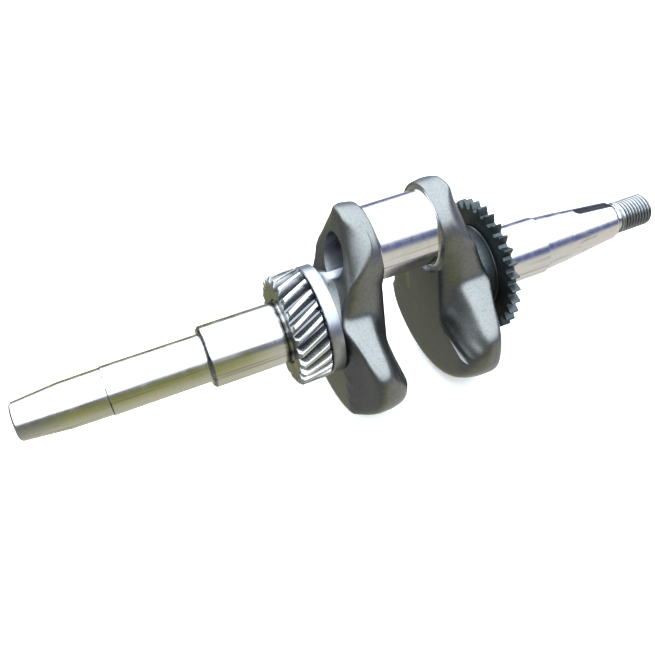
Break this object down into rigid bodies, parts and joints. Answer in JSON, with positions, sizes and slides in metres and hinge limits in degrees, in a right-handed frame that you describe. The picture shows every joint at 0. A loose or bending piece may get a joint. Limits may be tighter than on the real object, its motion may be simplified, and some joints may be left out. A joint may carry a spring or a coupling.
{
  "type": "crankshaft",
  "caption": "Forged single-throw crankshaft for a small single-cylinder engine, with a tapered power take-off end and pressed-on timing and governor drive gears.",
  "frame": {"origin": "on the main axis, level with the middle of the crankpin", "axes": "+X along the main axis from the power take-off end towards the flywheel end, +Z from the main axis towards the crankpin, +Y across the webs"},
  "size_m": [0.2784, 0.0762, 0.0896],
  "materials": {
    "crank_steel": "ground journals, crankpin and taper; dark forged scale on the webs",
    "gear_steel": "hobbed, bright",
    "black_oxide_steel": "black oxide, satin"
  },
  "bodies": {
    "root": {"crankshaft_forging": "crank_steel", "timing_gear": "gear_steel", "governor_drive_gear": "black_oxide_steel"}
  },
  "joints": []
}
